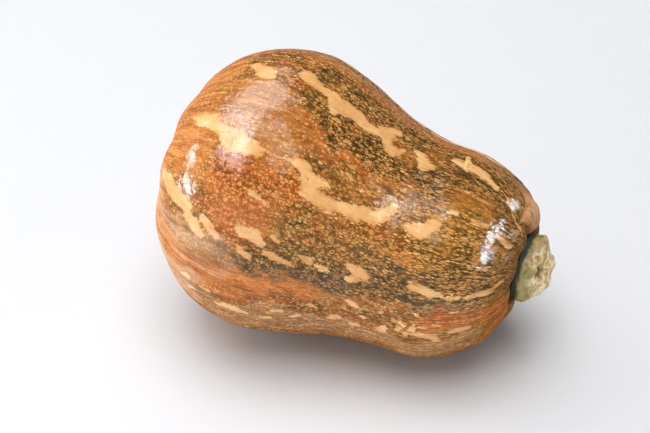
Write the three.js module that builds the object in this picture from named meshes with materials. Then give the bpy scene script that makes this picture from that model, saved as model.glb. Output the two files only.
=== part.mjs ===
// A pear-shaped winter squash with its short cut stem, lying on its side on a level surface.
//
// Lengths are in millimetres and angles in degrees. The fruit has an axis of growth, from the blossom
// end to the stem end. A point of its skin is found from its place along that axis and from "around",
// the angle about the axis: 0 on top, 90 at the front (-Y), 180 underneath and 270 at the back.
// +Z is up, +X points to the stem end, and the origin is under the middle of the whole squash.
import * as THREE from "three";

// ---- Fruit ----------------------------------------------------------------------------------------

// Half outline of the fruit: distance along the axis from the blossom end, and radius there.
const fruitOutline = [
  [0, 0],
  [0.5, 8],
  [3, 21.5],
  [14, 49.5],
  [34, 67],
  [63, 73.8],
  [89, 68.2],
  [111, 60.2],
  [134, 55.6],
  [158, 53.8],
  [180, 42],
  [190, 28.5],
  [191.6, 23.2],
  [191, 20],
  [189, 18.4],
];
const seatAlong = 189; // the flat seat in which the stem stands, sunk in the stem end
const fruitLength = 192;

// The middle of each section strays from the straight axis in slow waves, upwards and to the front.
const strayUp = [-0.6, 3.3, -1.0];
const strayFront = [1.5];

// The stem end has grown a little above and behind the axis, from this place along it onwards.
const stemEndFrom = 184;
const stemEndUp = 2.5;
const stemEndFront = -1.2;

// Ten rounded ribs with shallow grooves between them, deeper towards both ends. One of the grooves
// becomes a fold where it runs over the shoulder at the stem end.
const ribCount = 10;
const grooveAround = 6; // where one of the grooves lies
const grooveWander = 2.5; // how far the grooves stray from even spacing, in degrees
const grooveSharpness = 0.3; // 0 is a sharp crease
const grooveDepthBody = 1.1;
const grooveDepthStem = 1.4;
const grooveDepthBlossom = 1.8;
const grooveFade = [5, 20]; // the grooves run out between these radii at the blossom end
const foldAround = 4;
const foldWidth = 20; // in degrees
const foldDepth = 1.8; // added to the depth of the groove there

// Slow unevenness of the skin: each swelling has its height, how often it comes back around the
// fruit, the angle it faces, and how many half waves it makes along the fruit.
const swellings = [
  { height: 0.7, lobes: 2, towards: 35, halfWaves: 1 },
  { height: 0.35, lobes: 2, towards: 115, halfWaves: 2 },
  { height: 0.25, lobes: 1, towards: 90, halfWaves: 3 },
  { height: 0.4, lobes: 3, towards: 20, halfWaves: 1.5 },
];

// The sunken ring about the dry scar of the blossom.
const scarRingRadius = 9;
const scarRingDepth = 1.3;
const scarRingWidth = 4;

// The fruit lies on its bulb and on the underside of its neck, each pressed to a small flat spot.
const restTilt = 7.9; // the stem end lies lower than the blossom end by this angle
const flatSpotDepth = 1.1;

const rowCount = 54; // rows of vertices from the blossom end to the seat
const columnCount = 80; // vertices in each row
const rowCrowding = 0.6; // how much closer the rows lie near the two ends
const seatRings = [12, 6];

// ---- Stem -----------------------------------------------------------------------------------------

const stemGap = 0.3; // clearance between the stem and its seat
const stemFootRadius = 17;
const stemFootLip = 0.5; // the foot swells by this much just above the fruit
const stemValleyRadius = 13.2; // radius of the stem between its ridges
// Five woody ridges: where each stands, and how far it reaches from the middle of the stem.
const stemRidges = [
  { around: 325, reach: 18.2 },
  { around: 262, reach: 15.6 },
  { around: 200, reach: 14.9 },
  { around: 122, reach: 17.0 },
  { around: 42, reach: 14.8 },
];
const stemRidgeWidth = 21;
const stemHeight = 9.4; // at its middle, from the foot to the cut
const cutSlope = 0.44; // the cut is slanted: its rise for each millimetre across
const cutLowAround = 51; // where the cut is lowest
const cutDome = 1.2; // the middle of the cut stands this far above its plane
const pitDepth = 2.6; // the hollow pith in the middle of the cut
const pitRadius = 2.8;
const cutRidgeHeight = 0.7; // each ridge carries on over the cut as a low swelling
const stemColumnCount = 50;
const stemSideShares = [0, 0.12, 0.26, 0.42, 0.58, 0.74, 0.87, 0.95]; // shares of the side's height
const cutRingShares = [0.96, 0.88, 0.72, 0.54, 0.36, 0.2, 0.08]; // shares of the cut's radius

// ---- Shared helpers -------------------------------------------------------------------------------

const radians = THREE.MathUtils.degToRad;
const smoothstep = THREE.MathUtils.smoothstep;

// The smallest angle between two directions, in degrees.
function angleBetween(a, b) {
  return Math.abs(THREE.MathUtils.euclideanModulo(a - b + 180, 360) - 180);
}

// A closed mesh skinned over rows of points, ending in a point at each end. Seen from the last
// point, the points of each row run anticlockwise.
function skinOver(rows, firstPoint, lastPoint) {
  const count = rows[0].length;
  const points = [firstPoint, ...rows.flat(), lastPoint];
  const last = points.length - 1;
  const triangles = [];
  for (let column = 0; column < count; column++) {
    const next = (column + 1) % count;
    triangles.push(0, 1 + next, 1 + column);
    for (let row = 0; row < rows.length - 1; row++) {
      const near = 1 + row * count;
      const far = near + count;
      triangles.push(near + column, near + next, far + next);
      triangles.push(near + column, far + next, far + column);
    }
    const rim = 1 + (rows.length - 1) * count;
    triangles.push(rim + column, rim + next, last);
  }
  const geometry = new THREE.BufferGeometry().setFromPoints(points);
  geometry.setIndex(triangles);
  geometry.computeVertexNormals();
  return geometry;
}

// ---- The fruit's skin -----------------------------------------------------------------------------

const outlineCurve = new THREE.CatmullRomCurve3(
  fruitOutline.map(([along, radius]) => new THREE.Vector3(along, radius, 0)),
);
outlineCurve.arcLengthDivisions = 600;

// How far the middle of the section at this place strays, from the waves named above.
function stray(waves, along) {
  const share = THREE.MathUtils.clamp(along / fruitLength, 0, 1);
  return waves.reduce((sum, size, wave) => sum + size * Math.sin((wave + 1) * Math.PI * share), 0);
}

// 1 at the bottom of a groove and 0 on the crown of a rib.
function grooveShare(around) {
  const wander = grooveWander * Math.sin(radians(2 * around + 50));
  const turn = Math.sin(radians((around - grooveAround + wander) * ribCount / 2));
  return 1 - Math.sqrt((turn ** 2 + grooveSharpness ** 2) / (1 + grooveSharpness ** 2));
}

function grooveDepth(along, around) {
  const fold = foldDepth * Math.exp(-((angleBetween(around, foldAround) / foldWidth) ** 2));
  const stemward = smoothstep(along, 145, 188) * (grooveDepthStem - grooveDepthBody + fold);
  const blossomward = (1 - smoothstep(along, 2, 40)) * (grooveDepthBlossom - grooveDepthBody);
  return grooveDepthBody + stemward + blossomward;
}

function swell(along, radius, around) {
  let height = 0;
  for (const { height: most, lobes, towards, halfWaves } of swellings) {
    height += most * Math.cos(radians(lobes * (around - towards))) *
      Math.sin(halfWaves * Math.PI * along / fruitLength);
  }
  return height * smoothstep(radius, 20, 50);
}

// Height of the skin over the plain outline, in the direction of the outline's normal.
function relief(along, radius, around) {
  const fade = along < seatAlong / 2 ? smoothstep(radius, ...grooveFade) : 1;
  const groove = fade * grooveDepth(along, around) * grooveShare(around);
  const scar = along < 10
    ? scarRingDepth * Math.exp(-(((radius - scarRingRadius) / scarRingWidth) ** 2))
    : 0;
  return swell(along, radius, around) - groove - scar;
}

// From the fruit's axis to where it lies: its stem end tipped down by restTilt.
function tip(along, front, up) {
  const angle = radians(restTilt);
  return new THREE.Vector3(
    along * Math.cos(angle) + up * Math.sin(angle),
    -front,
    up * Math.cos(angle) - along * Math.sin(angle),
  );
}

function fruitPoint(along, radius, around) {
  const turn = radians(around);
  const ending = smoothstep(along, stemEndFrom, seatAlong);
  return tip(
    along,
    radius * Math.sin(turn) + stray(strayFront, along) + ending * stemEndFront,
    radius * Math.cos(turn) + stray(strayUp, along) + ending * stemEndUp,
  );
}

// One row of skin at a share of the outline's length.
function skinRow(share) {
  const place = outlineCurve.getPointAt(share);
  const tangent = outlineCurve.getTangentAt(share);
  return Array.from({ length: columnCount }, (_, column) => {
    const around = (360 * column) / columnCount;
    const height = relief(place.x, place.y, around);
    return fruitPoint(place.x - tangent.y * height, place.y + tangent.x * height, around);
  });
}

function flatRow(radius) {
  return Array.from({ length: columnCount }, (_, column) =>
    fruitPoint(seatAlong, radius, (360 * column) / columnCount));
}

function makeFruit() {
  const rows = [];
  for (let row = 1; row < rowCount; row++) {
    const step = row / rowCount;
    rows.push(skinRow(step - rowCrowding * Math.sin(2 * Math.PI * step) / (2 * Math.PI)));
  }
  const seatRadius = fruitOutline.at(-1)[1];
  for (const radius of [seatRadius, ...seatRings]) rows.push(flatRow(radius));
  const blossomPole = fruitPoint(0, 0, 0);
  const geometry = skinOver(rows, blossomPole, fruitPoint(seatAlong, 0, 0));
  const positions = geometry.attributes.position;
  geometry.computeBoundingBox();
  const ground = geometry.boundingBox.min.z + flatSpotDepth;
  for (let i = 0; i < positions.count; i++) {
    positions.setZ(i, Math.max(positions.getZ(i) - ground, 0));
  }
  geometry.computeVertexNormals();
  const skin = new THREE.MeshStandardMaterial({ color: 0xb5651f, roughness: 0.35, metalness: 0 });
  const fruit = new THREE.Mesh(geometry, skin);
  fruit.name = "fruit";
  return { fruit, ground };
}

// ---- The stem -------------------------------------------------------------------------------------

// Outline of the stem's section: round at the foot, five-ridged from a little above it.
function stemRadius(around, height) {
  let ridged = stemValleyRadius;
  for (const ridge of stemRidges) {
    const nearness = Math.exp(-((angleBetween(around, ridge.around) / stemRidgeWidth) ** 2));
    ridged += (ridge.reach - stemValleyRadius) * nearness;
  }
  const foot = stemFootRadius + stemFootLip * Math.sin(Math.PI * Math.min(height / 3, 1));
  return THREE.MathUtils.lerp(foot, ridged, smoothstep(height, 1, 5));
}

// Height of the cut above the foot, at a share of the way out from its middle.
function cutHeight(around, share) {
  const radius = share * stemRadius(around, stemHeight);
  const plane = stemHeight - cutSlope * radius * Math.cos(radians(around - cutLowAround));
  const dome = cutDome * (1 - share ** 2);
  const pit = pitDepth * Math.exp(-((radius / pitRadius) ** 2));
  const nearest = Math.min(...stemRidges.map((ridge) => angleBetween(around, ridge.around)));
  const ridge = cutRidgeHeight * Math.exp(-((nearest / stemRidgeWidth) ** 2)) *
    Math.sin(Math.PI * share);
  return plane + dome - pit + ridge;
}

function stemRow(place) {
  return Array.from({ length: stemColumnCount }, (_, column) => {
    const around = (360 * column) / stemColumnCount;
    const { height, radius } = place(around);
    return new THREE.Vector3(
      height,
      -radius * Math.sin(radians(around)),
      radius * Math.cos(radians(around)),
    );
  });
}

function makeStem(ground) {
  const edgeDrop = 0.9; // the side ends this far below the cut, which leaves a rounded rim
  const rows = [];
  for (const share of stemSideShares) {
    rows.push(stemRow((around) => {
      const height = share * (cutHeight(around, 1) - edgeDrop);
      return { height, radius: stemRadius(around, height) };
    }));
  }
  for (const share of cutRingShares) {
    rows.push(stemRow((around) => {
      const height = cutHeight(around, share);
      return { height, radius: share * stemRadius(around, stemHeight) };
    }));
  }
  const geometry = skinOver(
    rows,
    new THREE.Vector3(0, 0, 0),
    new THREE.Vector3(cutHeight(0, 0), 0, 0),
  );
  const wood = new THREE.MeshStandardMaterial({ color: 0xa59a66, roughness: 0.75, metalness: 0 });
  const stem = new THREE.Mesh(geometry, wood);
  stem.name = "stem";
  stem.position.copy(fruitPoint(seatAlong + stemGap, 0, 0));
  stem.position.z -= ground;
  stem.rotation.y = radians(restTilt);
  return stem;
}

// ---- The whole squash -----------------------------------------------------------------------------

const { fruit, ground } = makeFruit();
const squash = new THREE.Group();
squash.name = "squash";
squash.add(fruit, makeStem(ground));
const middle = new THREE.Box3().setFromObject(squash, true).getCenter(new THREE.Vector3());
squash.position.set(-middle.x, -middle.y, 0);

export default squash;
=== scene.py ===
"""The looks of a whole pear-shaped winter squash, lying on its side, with its short cut stem.

The skin and the stem are made again here with a finer surface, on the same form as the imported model, and
get their markings. Lengths are in millimetres until a mesh is made, and every Blender object is in metres.
A place on the skin is given by "along", the distance over the skin from the blossom end, and "around", the
angle about the fruit's axis: 0 on top as it lies, 90 at the front, 180 underneath and 270 at the back.
"""

import math
import random

import bpy
import numpy as np
from mathutils import Matrix, Vector, noise


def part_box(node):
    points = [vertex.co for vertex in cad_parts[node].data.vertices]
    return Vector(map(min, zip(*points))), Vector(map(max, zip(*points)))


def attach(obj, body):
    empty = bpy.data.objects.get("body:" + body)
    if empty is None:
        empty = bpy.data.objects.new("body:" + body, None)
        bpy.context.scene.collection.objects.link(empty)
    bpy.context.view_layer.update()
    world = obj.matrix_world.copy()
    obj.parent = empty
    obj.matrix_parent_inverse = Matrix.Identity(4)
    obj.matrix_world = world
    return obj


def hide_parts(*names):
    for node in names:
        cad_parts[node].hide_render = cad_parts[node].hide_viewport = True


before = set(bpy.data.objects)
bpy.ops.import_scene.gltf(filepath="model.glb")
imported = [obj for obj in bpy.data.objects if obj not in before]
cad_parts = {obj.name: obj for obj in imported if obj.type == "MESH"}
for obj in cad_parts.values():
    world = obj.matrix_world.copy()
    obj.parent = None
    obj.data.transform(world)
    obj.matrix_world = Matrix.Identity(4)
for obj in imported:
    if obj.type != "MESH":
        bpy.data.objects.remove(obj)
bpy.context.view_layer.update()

MM = 0.001  # metres in a millimetre
BODY = "root"

# ---- The fruit's form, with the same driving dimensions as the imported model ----

# Half outline: distance along the axis from the blossom end, and radius there.
FRUIT_OUTLINE = np.array([
    (0, 0), (0.5, 8), (3, 21.5), (14, 49.5), (34, 67), (63, 73.8), (89, 68.2), (111, 60.2), (134, 55.6),
    (158, 53.8), (180, 42), (190, 28.5), (191.6, 23.2), (191, 20), (189, 18.4),
], float)
SEAT_AXIS = 189  # the flat seat of the stem, on the axis
FRUIT_LENGTH = 192
STRAY_UP = (-0.6, 3.3, -1)  # slow waves in which the middle of each section strays from the axis
STRAY_FRONT = (1.5,)
STEM_END_FROM, STEM_END_UP, STEM_END_FRONT = 184, 2.5, -1.2
RIB_COUNT, GROOVE_AROUND, GROOVE_SHARPNESS = 10, 6, 0.3
GROOVE_WANDER, GROOVE_WANDER_FROM = 2.5, 50
GROOVE_BODY, GROOVE_STEM, GROOVE_BLOSSOM = 1.1, 1.4, 1.8  # depths
GROOVE_STEM_RISE, GROOVE_BLOSSOM_FADE = (145, 188), (2, 40)  # where along the axis those two apply
GROOVE_FADE = (5, 20)  # radii
FOLD_AROUND, FOLD_WIDTH, FOLD_DEPTH = 4, 20, 1.8  # one groove becomes a fold at the stem end
# Swellings: height, lobes around, where the first one points, and half waves along the axis.
SWELLINGS = ((0.7, 2, 35, 1), (0.35, 2, 115, 2), (0.25, 1, 90, 3), (0.4, 3, 20, 1.5))
SWELLING_FADE = (20, 50)  # radii
SCAR_RING_RADIUS, SCAR_RING_DEPTH, SCAR_RING_WIDTH, SCAR_RING_TO = 9, 1.3, 4, 10
REST_TILT = math.radians(7.9)
FLAT_SPOT_DEPTH = 1.1

# The finer surface.
ROW_COUNT = 248
COLUMN_COUNT = 384
ROW_CROWDING = 0.3  # how much closer the rows lie near the two ends
OUTLINE_STEP, SPAN_STEP = 0.25, 0.005  # over the skin, and as a share of a span between two knots
OUTLINE_EASE, OUTLINE_REACH = 4, 3  # the outline is eased over this distance, out to 3 times as far
EASED_FROM, EASED_TO = (14, 34), (216, 232)  # clear of its two ends

# Smooth noise: how much fainter and how much finer each octave is, and the way to a place in it.
NOISE_FALL, NOISE_STEP, NOISE_WAY = 0.9, 2.1, (1, 2.3, -1.7)
# Fine relief: how high it is, and the size and place in the noise of its waves.
LUMP_HEIGHT, LUMP_WAVES = 0.34, (17, 5)
DIMPLE_HEIGHT, DIMPLE_WAVES = 0.11, (5.2, 9)
CREASE_HEIGHT, CREASE_WAVES = 0.14, (3, 31)  # creases run lengthwise near the two ends
CREASE_LENGTH = 26
CREASES_STEM, CREASES_BLOSSOM, BLOSSOM_SHARE = (196, 240), (8, 40), 0.7
LUMP_FADE, RELIEF_FADE = (12, 40), (2, 9)  # radii
RELIEF_END = (246, 254)
FOLD_LINE_AROUND, FOLD_LINE_ALONG = (-42, 14), (231, 248)  # from and to around, and how far along there
FOLD_LINE_DEPTH, FOLD_LINE_WIDTH, FOLD_LINE_END = 0.9, 1.9, 8
SCAR_HEIGHT, SCAR_EDGE = 0.45, (-0.5, 0.5)

# ---- The stem's form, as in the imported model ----

STEM_GAP = 0.3
STEM_SINK = 1.2  # its foot goes this far down into the seat, so that no gap shows
STEM_FOOT_RADIUS, STEM_FOOT_LIP, STEM_FOOT_HEIGHT = 17, 0.5, 3
STEM_RIDGES = ((325, 18.2), (262, 15.6), (200, 14.9), (122, 17), (42, 14.8))  # around, reach
STEM_VALLEY_RADIUS, STEM_RIDGE_WIDTH, STEM_RIDGE_RISE = 13.2, 21, (1, 5)
STEM_HEIGHT = 9.4
CUT_SLOPE, CUT_LOW_AROUND, CUT_DOME, CUT_RIDGE = 0.44, 51, 1.2, 0.7
PIT_DEPTH, PIT_RADIUS = 2.6, 2.8
STEM_COLUMNS, STEM_SIDE_ROWS, STEM_CUT_ROWS = 220, 44, 42
RIM_ROUND, RIM_DROP, RIM_FROM = 1.1, 0.9, 0.86  # the rim is rounded off from this share of the way out
KNOB_HEIGHT, KNOB_WAVES = 0.95, (4.8, 71, 3)  # corky knobs on the stem
KNOB_RISE, KNOB_LEAN = (1.6, 4.5), 0.25
GRAIN_HEIGHT, GRAIN_WAVES, GRAIN_EDGE = 0.3, (2.6, 83), 0.9  # crumbs of cork that stand out on the cut
SPOKE_SHRINK, SPOKE_RADIUS = 0.45, 9  # the pattern on the cut is drawn out from its middle to its rim

# ---- The markings, and painted light and shade ----

WRAP_RADIUS = 62  # the markings are laid out on a tube of this radius, so that they narrow towards the ends
FINE_RADIUS, FINE_FROM, FINE_TO = 84, 118, 205  # the spots are finer on the neck, as on a tube this wide
# How long the spots grow for their width: place along the skin, and length for width.
STRETCH = ((0, 1.1), (60, 1.2), (105, 1.4), (150, 1.65), (200, 2.1), (235, 2.3), (262, 1.6))
DRIFT_WAVES, SWAY_WAVES = (26, 41), (15, 57)  # slow waves that the edges of patches wander with

# Tan blotches lie in rows, one to each groove. Each is a run of round dabs: along, around, radius.
BLOTCHES = (
    ((87, 0.5, 1.6), (91, 2.5, 3), (95, 4, 4.6), (98, 6.5, 3)),
    ((113.5, 0, 2.6), (117.5, 0.8, 3.7), (122, 1.8, 2.4), (127, 2.8, 1.7), (132, 3.3, 2.8)),
    ((132, 3, 3), (134.5, 8.5, 2.9), (138, 4.5, 4.4), (146, 4.5, 3.8), (152, 5.5, 3.2),
     (156, 4.5, 2.1), (159, 3, 1.7)),
    ((159, 1, 1.6), (162, 3, 2.8), (163, -1, 2.8), (165.5, -3.5, 1.8)),
    ((162, 3, 2.6), (164, 7.5, 2.3), (168, 10, 2.2), (171, 8, 1.7), (172.5, 5, 0.7)),
    ((180, 2, 2), (182.5, 4.8, 2.6), (184.5, 9, 2), (188.5, 6, 1)),
    ((195, -5, 0.9), (199, -4.5, 2.2), (205, -4, 2.9), (211, -3.5, 2.6), (216, -3, 1.5), (221, -2.5, 0.7)),
    ((229, -1, 0.2), (234, 2.5, 0.5), (239, 8, 0.5), (244, 15, 0.4), (247, 20, 0.3)),
    ((69, 32, 1.8), (75, 32, 2.8), (82, 33, 3.2), (87, 34.5, 2.6)),
    ((90, 37, 3.2), (96, 38.5, 4.6), (102, 39, 4.8), (108, 39.5, 3.8), (112, 40, 2)),
    ((130, 37.5, 2.3), (134, 38.5, 2.9), (139, 41.5, 3.2), (144, 41, 1.9), (147, 40.5, 0.8)),
    ((139, 41.5, 3.2), (142, 46, 3)),
    ((140, 46.5, 3), (147, 48, 3.2), (154, 47.3, 2.9), (161, 46.5, 2.8), (168, 45.5, 3), (174, 44, 3.3)),
    ((174, 44, 3.3), (177, 40.5, 2.8), (179.5, 37, 1.8)),
    ((189, 42.5, 2), (193, 43.5, 2.9), (197, 42, 3), (199.5, 38.5, 2.6), (202, 37.5, 1.4)),
    ((204, 28.8, 0.3), (209, 28.3, 0.5)),
    ((217, 28.6, 0.3), (221, 28.6, 0.6), (225, 27.8, 0.2)),
    ((231, 30, 0.2), (237, 31.5, 0.6), (243, 34.5, 0.7)),
    ((57, 61.5, 2.2), (64, 64, 4), (70, 66, 4.2), (77, 67.5, 3.8), (83, 69, 2.8)),
    ((84, 72.5, 2), (89, 74.5, 2.9), (94, 77, 2.1)),
    ((94, 70.5, 1.6), (98, 72.5, 2), (103, 75.5, 1.8)),
    ((114, 69, 2.2), (118, 70, 3.3), (122, 70.8, 3.4), (125, 73, 1.7)),
    ((116, 78.3, 1.1), (121, 79.5, 1.2)),
    ((128, 76.3, 1.4), (132, 77.3, 1.9), (137, 78, 1.6), (142, 78.3, 0.4)),
    ((131, 69.3, 0.9), (134, 70, 0.9)),
    ((106, 52.5, -0.3), (112, 54, 0.1), (118, 55.3, 0.2), (124, 57, -0.1)),
    ((145, 74, 0.9), (150, 75, 1.5)),
    ((168.5, 71.5, 1.4), (173, 72.8, 2.7), (177, 73.5, 2.4)),
    ((173, 72.8, 2.7), (172, 76, 1.6), (169, 78.3, 1.1)),
    ((199.5, 70, 1.8), (204, 70.8, 2.5), (209.5, 72, 2.1), (214, 72.6, 0.8)),
    ((225, 72.6, 0.3), (231, 71.4, 0.9), (236, 69.8, 1.1), (241, 67.5, 0.9), (245, 65, 0.5)),
    ((84, 103, 1.2), (88, 101.5, 1.2)),
    ((86, 111, 1), (90, 109.5, 1.3)),
    ((96.5, 103.5, 0.8), (101, 103.5, 1.1)),
    ((106, 112, 2), (110, 110, 2.6), (115, 111.5, 2), (120, 113, 0.9)),
    ((128, 115, 0.9), (131, 114.5, 1.3)),
    ((134, 108, 0.9), (138, 107, 1.3)),
    ((144, 111, 1.2), (146.5, 109, 1.5)),
    ((163, 106.5, 1.3), (166.5, 104.5, 1.3)),
    ((173, 108, 1.1), (176, 107, 1.2)),
    ((187, 104, 0.9),),
    ((183, 94.5, 0.6),),
    ((187.5, 90.5, 0.5),),
    ((194.5, 93.5, 0.6),),
    ((203, 96.5, 0.8), (204.5, 91.5, 1)),
    ((209.5, 94, 0.6),),
    ((171, 90.5, 0.5), (175, 92, 0.8)),
    ((179, 98.5, 0.6),),
    ((196.5, 99, 0.5), (198, 92, 0.7)),
    ((200.5, 103, 0.9), (201, 100, 0.7)),
    ((188, 106, 0.6), (189.5, 101, 0.8)),
    ((152, 99, 0.5), (156, 100, 0.6)),
    ((202, 99.5, 0.5), (209, 100.5, 0.9), (214, 102.5, 1.6), (217, 106.5, 0.9)),
    ((221, 100, 0.9), (225, 98.5, 1.4), (230, 98, 1.1)),
)
# The rows that face away carry blotches of the same kind, placed by a seeded rule.
SEED = 20
HIDDEN_ROWS = (146, 181, 217, 253, 288, 323)
HIDDEN_FROM, HIDDEN_TO = 62, 236
BLOTCH_LENGTHS, BLOTCH_GAPS, BLOTCH_RADII = (8, 46), (5, 22), (1.4, 4.9)
LONG_FROM, LONGER, SLIM_FROM, SLIMMER = 190, 1.3, 195, 0.55  # blotches are longer and slimmer on the neck
BLOTCH_LEAN, BLOTCH_STRAY, DAB_STRAY = 4, 3.5, 2.6  # degrees
DAB_SPACING = 5.5
DAB_LEAST, DAB_SWELL, DAB_EARLY, DAB_CHANCE = 0.4, 0.7, 0.12, (0.35, 1.3)
BLOTCH_ROWS = (5, 39, 74, 109) + HIDDEN_ROWS
GREEN_REACH, GREEN_SWAY = 12, 5  # dark green lies this many degrees to either side of a row
GREEN_FROM, GREEN_WANDER = (86, 122), 14
GREEN_LEAST, GREEN_DRIFT = 0.75, 0.5
SEEN_MIDDLE, SEEN_EDGE, SEEN_GREEN = 54, (62, 74), 0.35  # the named patches rule the side in front
OUTSIDE, DAB_RADIUS_LEAST, TINY = -50.0, 8, 1e-6

# Patches of skin with a colouring of their own, and patches of painted light and shade: from and to along,
# from and to around, and how strong.
PATCHES = {
    "green": (
        (116, 204, -13, -2, 0.9), (116, 206, 7, 23, 0.95), (134, 206, 29, 38, 0.4), (198, 245, -14, 30, 0.8),
        (205, 236, -36, -12, 0.8), (79, 90, -7, -1, 0.8), (190, 240, 47, 53, 0.85), (150, 200, 50, 54, 0.5),
        (178, 238, 61, 76, 0.95), (212, 250, 38, 64, 0.8), (122, 180, 59, 76, 0.4),
        (130, 146, 57.5, 61, 0.95), (90, 101, 66, 71, 0.7), (116, 242, 75, 82, 0.95), (120, 190, 80, 86, 0.6),
        (140, 200, 94, 103, 0.5), (126, 240, 98, 126, 0.34), (60, 235, -46, -22, 0.4),
        (95, 118, -10, -3, 0.6), (208, 218, 27, 33, 0.6), (230, 262, -4, 82, 0.6),
    ),
    "bare_of_green": (
        (98, 126, 19, 42, 0.8), (40, 108, 8, 62, 1), (60, 150, 87, 96, 0.9), (118, 190, 24.5, 28.5, 0.8),
        (204, 226, 14, 27, 0.7), (214, 246, 79, 96, 0.7), (200, 216, 84, 96, 0.6), (237, 262, -52, -22, 1),
        (244, 262, -26, -5, 1), (98, 134, 56, 66, 0.6),
    ),
    "rust": (
        (18, 84, -12, 62, 0.45), (238, 262, 84, 130, 1), (88, 142, 43, 60, 1), (122, 162, 20, 29, 0.6),
        (60, 160, 88, 98, 0.7), (84, 132, 96, 104, 0.8), (204, 240, 83, 96, 1), (140, 205, 50, 61, 0.8),
        (60, 235, -44, -14, 0.3), (120, 235, 97, 110, 0.6), (96, 130, 57, 78, 1),
    ),
    "gold": (
        (190, 232, 20, 50, 0.9), (42, 88, 28, 60, 0.35), (60, 90, -4, 24, 0.5), (180, 245, 96, 125, 0.7),
        (140, 180, 30, 43, 0.4), (126, 235, 52, 74, 0.8),
    ),
    "plain": (
        (98, 128, 20, 42, 0.8), (60, 150, 88, 96, 1.5), (40, 84, -8, 28, 0.9), (40, 86, 28, 58, 1.2),
        (84, 114, 8, 34, 0.8), (20, 66, 56, 100, 1), (145, 172, 31, 40, 0.5), (60, 165, 84, 96, 1.3),
        (84, 128, 95, 103, 1), (208, 240, 83, 96, 0.45), (60, 240, -60, -18, 0.3),
        (237, 262, -52, -22, 1), (244, 262, -26, -5, 1), (84, 176, 24, 29, 0.8), (202, 226, 15, 26, 0.7),
        (40, 90, 98, 130, 0.5), (98, 132, 57, 67, 0.7),
    ),
    # Painted light: pale pinkish veils of reflection, and light thrown up from below, painted into the colour
    # of the underside, the blossom end and the lobe behind the stem.
    "pale": (
        (40, 96, 97, 124, 0.55), (96, 236, 105, 127, 0.2), (22, 58, 60, 98, 0.5), (44, 106, 76, 84, 0.42),
        (50, 112, 84, 93, 0.24), (237, 262, -52, -22, 0.62), (244, 262, -26, -5, 0.62),
    ),
    # Painted shade: a dark blue-grey band along the groove under the lower row of blotches.
    "slate": (
        (176, 217, 75, 79, 0.9), (98, 174, 79.5, 87.5, 1), (160, 168, 72, 80, 0.5), (196, 232, 78, 85, 0.6),
    ),
    "dull": ((106, 134, 27, 48, 0.6), (197, 212, 30, 54, 0.7)),
}
PATCH_EDGE, PATCH_EDGE_AROUND = 7, 3.0  # how softly a patch ends, in millimetres and in degrees
PATCH_WANDER = 7

# Dry corky scars that stand up from the skin: along, around, radius.
SCARS = (
    ((153, 76, 1), (155.5, 76.8, 1.9), (158.5, 76.8, 1.6)),
    ((215, 73, 0.8), (218.5, 73.4, 1.7), (222.5, 73, 1.2)),
    ((227, 73.4, 0.9), (230, 72.8, 0.8)),
    ((220, 83.6, 0.3), (224.5, 83, 0.4)),
    ((145.5, 26, 1),),
    ((204.5, 85.5, 1.2),),
    ((197.5, 92.5, 0.9), (199.5, 95, 1.1)),
    ((206, 93.5, 0.4), (208, 94, 0.5)),
    ((212.5, 91.5, 0.4), (216.5, 92.5, 0.5)),
    ((200.5, -12, 1), (202.3, -6, 1.7), (203.5, -1.5, 1)),
)
WOUND = (138, 41.8, 0.8)  # a small dark dot in a blotch

# ---- How the markings, and the painted light and shade, are coloured ----

# What the meshes store for their materials.
SKIN_VALUES = ("growth", "blotch", "green", "rust", "gold", "plain", "pale", "slate", "dull", "scar", "wound",
               "along")
STEM_VALUES = ("height", "on_cut", "share", "knob", "place", "spokes")
# Screen colours, 0 to 255, of the skin and the stem in plain light, and a few tones of painted light and
# shade.
COLOURS = {
    "net_brown": (134, 90, 42), "net_rust": (158, 75, 28), "net_gold": (106, 88, 38),
    "net_olive": (104, 80, 40), "net_green": (74, 60, 31),
    "spot_deep": (212, 134, 60), "spot_orange": (240, 172, 92), "spot_light": (255, 214, 144),
    "spot_rust": (248, 158, 84), "spot_gold": (240, 182, 92),
    "spot_dull": (190, 134, 74), "spot_tan": (244, 186, 106), "fleck": (238, 182, 108),
    "ground_deep": (200, 120, 56), "ground": (228, 152, 80), "ground_light": (240, 178, 108),
    "ground_rust": (242, 136, 66), "ground_gold": (220, 148, 60),
    "stroke_dark": (118, 72, 30), "stroke_pale": (240, 186, 118),
    # Here the dark blue-grey is painted shade in a groove, and the two pale tones are painted reflection and
    # bounce light.
    "slate": (92, 80, 68), "pale_deep": (184, 128, 86), "pale_light": (252, 210, 168),
    # The deep brown tone by the stem end is painted shade around the stem's seat.
    "stem_end": (106, 78, 52), "shade_dark": (206, 192, 172), "shade_light": (255, 255, 255),
    "margin": (66, 56, 28), "blotch": (235, 178, 114), "blotch_light": (247, 199, 138),
    # The palest blotch tone is painted bounce light.
    "blotch_deep": (220, 156, 90), "blotch_pale": (255, 226, 182),
    "cork": (252, 210, 138), "cork_dull": (206, 142, 72), "wound": (110, 66, 34),
    "blossom_scar": (172, 130, 86), "scar_ring": (112, 84, 50),
    # The near black foot is partly the stem's dark green and partly painted shade where it stands in the
    # fruit's seat.
    "stem_foot": (34, 38, 24), "stem_deep": (84, 88, 36), "stem_green": (126, 122, 56),
    "stem_straw": (180, 152, 84), "stem_brown": (142, 96, 46), "stem_cork": (216, 186, 124),
    "cut_dull": (168, 128, 76), "cut": (232, 202, 148), "cut_light": (255, 240, 204),
    "cut_green": (164, 152, 76), "pith": (118, 74, 36),
}

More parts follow.
